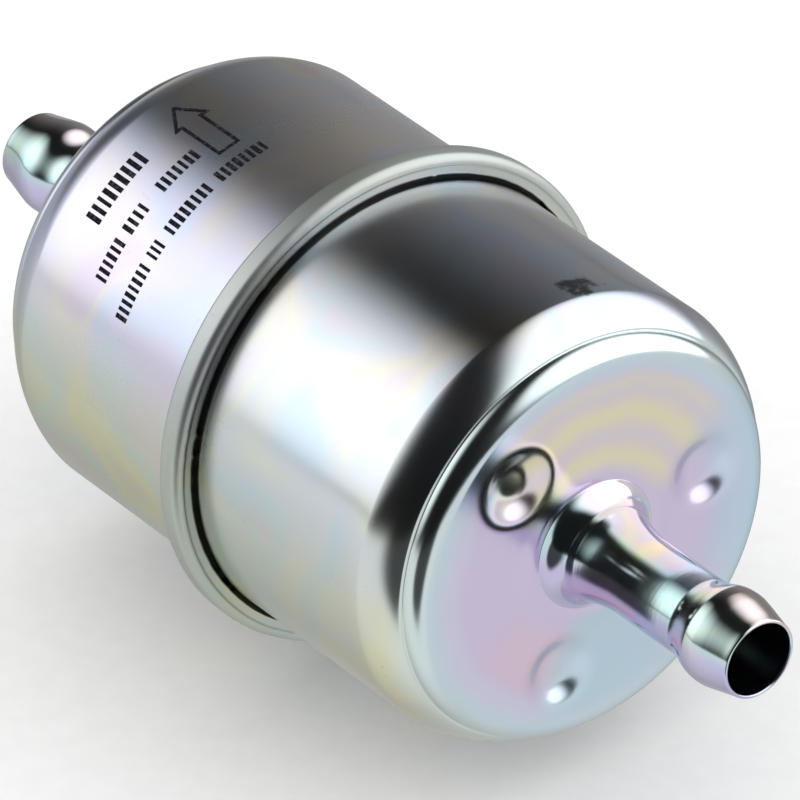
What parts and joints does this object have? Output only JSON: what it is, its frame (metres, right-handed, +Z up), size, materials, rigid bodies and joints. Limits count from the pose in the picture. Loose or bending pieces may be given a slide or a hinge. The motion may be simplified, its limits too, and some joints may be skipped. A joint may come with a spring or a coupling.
{
  "type": "inline fuel filter",
  "caption": "Round crimped steel inline fuel filter with a beaded hose nipple at each end and a pleated paper element inside.",
  "frame": {"origin": "middle of the whole length, on the can's axis", "axes": "+X along the axis towards the inlet nipple, -X towards the outlet (the way the fuel flows), +Z up with the filter lying level"},
  "size_m": [0.1086, 0.0492, 0.0492],
  "materials": {
    "plated_steel": "satin",
    "bare_steel": "satin",
    "braze_copper": "satin",
    "nitrile_rubber": "matte",
    "filter_paper": "matte",
    "potting_adhesive": "satin",
    "print_ink": "matte"
  },
  "bodies": {
    "root": {"inlet_shell": "plated_steel", "outlet_shell": "plated_steel", "inlet_nipple": "plated_steel", "outlet_nipple": "plated_steel", "seam_gasket": "nitrile_rubber", "inlet_braze_ring": "braze_copper", "outlet_braze_ring": "braze_copper", "inlet_end_cap": "bare_steel", "outlet_end_cap": "bare_steel", "inlet_potting": "potting_adhesive", "outlet_potting": "potting_adhesive", "filter_media": "filter_paper", "pleat_clip": "bare_steel", "centre_tube": "bare_steel", "outlet_seal_washer": "nitrile_rubber"}
  },
  "joints": []
}
